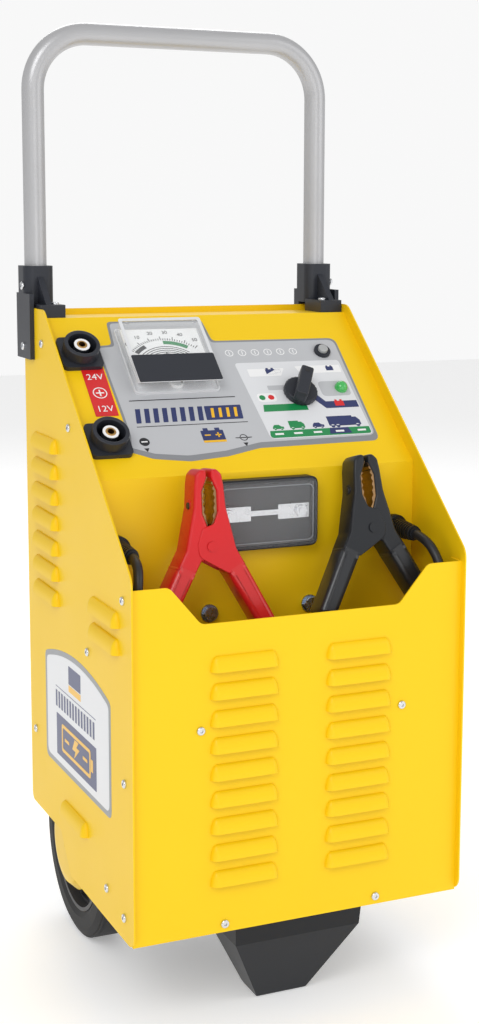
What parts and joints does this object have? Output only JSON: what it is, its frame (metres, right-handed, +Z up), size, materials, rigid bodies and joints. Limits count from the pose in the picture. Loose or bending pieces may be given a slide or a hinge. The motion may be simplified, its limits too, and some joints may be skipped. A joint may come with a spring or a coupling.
{
  "type": "wheeled car battery charger",
  "caption": "Upright battery charger and starter on rear wheels, with a louvred sheet-metal body, sloping control panel, lead pocket, two clamps and a tubular handle.",
  "frame": {"origin": "on the floor, under the middle of the object", "axes": "+Z up; -Y towards the front, where the control panel and pocket face; +X to the right seen from the front"},
  "size_m": [0.3438, 0.355, 0.9225],
  "materials": {
    "yellow": "satin",
    "zinc": "satin",
    "steel": "satin",
    "grey_paint": "satin",
    "black_paint": "satin",
    "black_plastic": "satin",
    "grey_plastic": "satin",
    "yellow_plastic": "gloss",
    "tyre": "matt",
    "rubber": "satin",
    "clear": "gloss",
    "dial": "matt",
    "red_plastic": "gloss",
    "lamp": "gloss",
    "brass": "polished",
    "copper": "satin",
    "aluminium": "satin",
    "cast": "matt",
    "blue_zinc": "satin"
  },
  "bodies": {
    "root": {"axle_clips": "steel", "base_plate": "black_paint", "bracket_screws": "zinc", "circuit_breaker": "black_plastic", "core_bolts": "blue_zinc", "fascia_panel": "yellow", "front_foot": "black_plastic", "front_panel": "yellow", "fuse_base": "black_plastic", "fuse_cover": "clear", "fuse_link": "zinc", "handle_tube": "grey_paint", "left_handle_bracket": "black_plastic", "left_side_panel": "yellow", "mains_gland": "black_plastic", "meter_case": "black_plastic", "meter_cover": "clear", "meter_movement": "dial", "negative_coil": "rubber", "negative_fixed_arm": "black_plastic", "negative_fixed_jaw": "copper", "negative_gland": "rubber", "negative_lead": "rubber", "negative_pivot_pin": "zinc", "negative_spring": "steel", "panel_screws": "zinc", "pocket_floor": "yellow", "positive_coil": "rubber", "positive_fixed_arm": "red_plastic", "positive_fixed_jaw": "copper", "positive_gland": "rubber", "positive_lead": "rubber", "positive_pivot_pin": "zinc", "positive_spring": "steel", "power_lamp": "lamp", "rear_axle": "steel", "rear_panel": "yellow", "rectifier_diodes": "steel", "rectifier_heatsink": "aluminium", "right_handle_bracket": "black_plastic", "right_side_panel": "yellow", "selector_switch": "black_plastic", "socket_12v": "black_plastic", "socket_24v": "black_plastic", "socket_contacts": "brass", "transformer_coils": "copper", "transformer_core": "cast"},
    "left_wheel": {"left_tyre": "tyre", "left_rim": "grey_plastic", "left_hub_cap": "yellow_plastic"},
    "right_wheel": {"right_tyre": "tyre", "right_rim": "grey_plastic", "right_hub_cap": "yellow_plastic"},
    "selector": {"selector_knob": "black_plastic"},
    "reset": {"reset_button": "black_plastic"},
    "needle": {"meter_needle": "black_paint"},
    "positive_clamp_arm": {"positive_moving_arm": "red_plastic", "positive_moving_jaw": "copper"},
    "negative_clamp_arm": {"negative_moving_arm": "black_plastic", "negative_moving_jaw": "copper"}
  },
  "joints": [
    {"name": "left_wheel_spin", "type": "hinge", "parent": "root", "child": "left_wheel", "pos_m": [-0.12, 0.0805, 0.097], "axis": [1, 0, 0], "continuous": true},
    {"name": "right_wheel_spin", "type": "hinge", "parent": "root", "child": "right_wheel", "pos_m": [0.12, 0.0805, 0.097], "axis": [1, 0, 0], "continuous": true},
    {"name": "selector_turn", "type": "hinge", "parent": "root", "child": "selector", "pos_m": [0.0735, -0.00311, 0.55941], "axis": [0, -0.6622, 0.7493], "range_deg": [-107, 163]},
    {"name": "reset_press", "type": "slide", "parent": "root", "child": "reset", "axis": [0, 0.6622, -0.7493], "range_m": [0, 0.0025], "stiffness_N_per_m": 1200, "springref_m": -0.002},
    {"name": "needle_swing", "type": "hinge", "parent": "root", "child": "needle", "pos_m": [-0.053, 0.01038, 0.57133], "axis": [0, 0.6622, -0.7493], "range_deg": [0, 90], "stiffness_Nm_per_rad": 0.0002, "springref_deg": -2.86},
    {"name": "positive_squeeze", "type": "hinge", "parent": "root", "child": "positive_clamp_arm", "pos_m": [-0.07, -0.112, 0.4375], "axis": [0, -0.9945, 0.1045], "range_deg": [0, 28], "stiffness_Nm_per_rad": 6, "springref_deg": -34.38},
    {"name": "negative_squeeze", "type": "hinge", "parent": "root", "child": "negative_clamp_arm", "pos_m": [0.095, -0.1095, 0.4405], "axis": [0, 0.9703, -0.2419], "range_deg": [0, 28], "stiffness_Nm_per_rad": 6, "springref_deg": -34.38}
  ]
}
